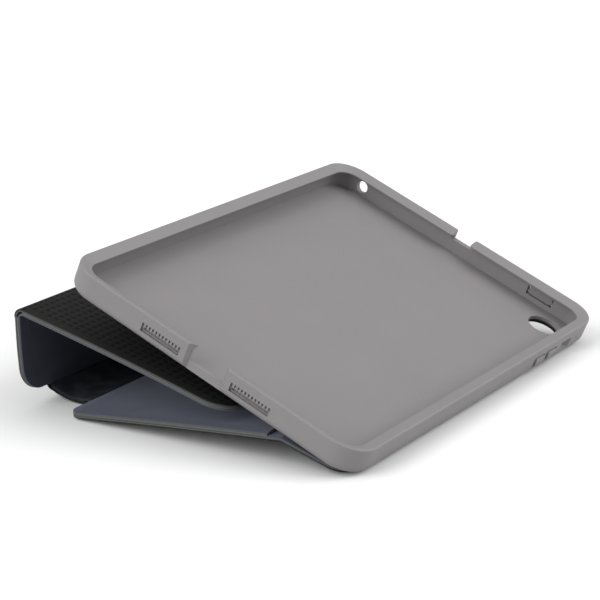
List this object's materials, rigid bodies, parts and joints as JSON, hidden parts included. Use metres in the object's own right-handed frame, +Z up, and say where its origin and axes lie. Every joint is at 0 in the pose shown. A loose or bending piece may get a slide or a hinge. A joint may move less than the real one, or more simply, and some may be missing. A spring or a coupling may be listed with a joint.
{
  "type": "tablet case",
  "caption": "Folding stand case: soft moulded tray bonded to a hinged panelled cover that folds round into a sloped stand, with button covers and plug cut-outs.",
  "frame": {"origin": "on the table, under the middle of the whole case standing in its typing slope", "axes": "+X along the long side towards the camera end, +Y towards the raised back, +Z up"},
  "size_m": [0.2068, 0.1567, 0.0642],
  "materials": {
    "tray_shell": "satin soft-touch moulding",
    "button_cover": "satin soft-touch moulding",
    "cover_skin": "embossed woven pattern, semi-matte",
    "cover_board": "pale cut edge",
    "cover_lining": "slate suede microfibre",
    "magnet": "nickel plated",
    "bond": "adhesive film"
  },
  "bodies": {
    "base": {"base_skin": "cover_skin", "base_board": "cover_board", "base_lining": "cover_lining", "base_magnets": "magnet"},
    "holder": {"tray": "tray_shell", "bond_sheet": "bond", "flap_skin": "cover_skin", "flap_lining": "cover_lining", "flap_fold_skin": "cover_skin", "flap_fold_lining": "cover_lining"},
    "spine": {"spine_skin": "cover_skin", "spine_board": "cover_board", "spine_lining": "cover_lining", "back_fold_skin": "cover_skin", "back_fold_lining": "cover_lining"},
    "riser": {"riser_skin": "cover_skin", "riser_board": "cover_board", "riser_lining": "cover_lining", "riser_fold_skin": "cover_skin", "riser_fold_lining": "cover_lining"},
    "lid": {"lid_skin": "cover_skin", "lid_board": "cover_board", "lid_lining": "cover_lining", "lid_magnets": "magnet", "lid_fold_skin": "cover_skin", "lid_fold_lining": "cover_lining"},
    "power_key": {"power_button": "button_cover"},
    "volume_up_key": {"volume_up_button": "button_cover"},
    "volume_down_key": {"volume_down_button": "button_cover"}
  },
  "joints": [
    {"name": "flap_fold", "type": "hinge", "parent": "base", "child": "holder", "pos_m": [0, -0.04478, 0.0101], "axis": [1, 0, 0], "range_deg": [-5, 60], "deforming": ["flap_fold_skin", "flap_fold_lining"]},
    {"name": "back_fold", "type": "hinge", "parent": "base", "child": "spine", "pos_m": [0, 0.05501, 0.003], "axis": [1, 0, 0], "range_deg": [-7.55, 0], "deforming": ["back_fold_skin", "back_fold_lining"]},
    {"name": "riser_fold", "type": "hinge", "parent": "spine", "child": "riser", "pos_m": [0, 0.07276, 0.00581], "axis": [1, 0, 0], "range_deg": [-73, 0], "deforming": ["riser_fold_skin", "riser_fold_lining"]},
    {"name": "lid_fold", "type": "hinge", "parent": "riser", "child": "lid", "pos_m": [0, 0.07532, 0.03831], "axis": [1, 0, 0], "range_deg": [0, 65.2], "deforming": ["lid_fold_skin", "lid_fold_lining"]},
    {"name": "power_press", "type": "slide", "parent": "holder", "child": "power_key", "axis": [-1, 0, 0], "range_m": [0, 0.0005], "stiffness_N_per_m": 400},
    {"name": "volume_up_press", "type": "slide", "parent": "holder", "child": "volume_up_key", "axis": [0, 0.9239, 0.3827], "range_m": [0, 0.0005], "stiffness_N_per_m": 400},
    {"name": "volume_down_press", "type": "slide", "parent": "holder", "child": "volume_down_key", "axis": [0, 0.9239, 0.3827], "range_m": [0, 0.0005], "stiffness_N_per_m": 400}
  ],
  "couplings": [
    {"joint": "back_fold", "follows": "riser_fold", "ratio": 0.10274},
    {"joint": "lid_fold", "follows": "riser_fold", "ratio": -0.89041}
  ]
}
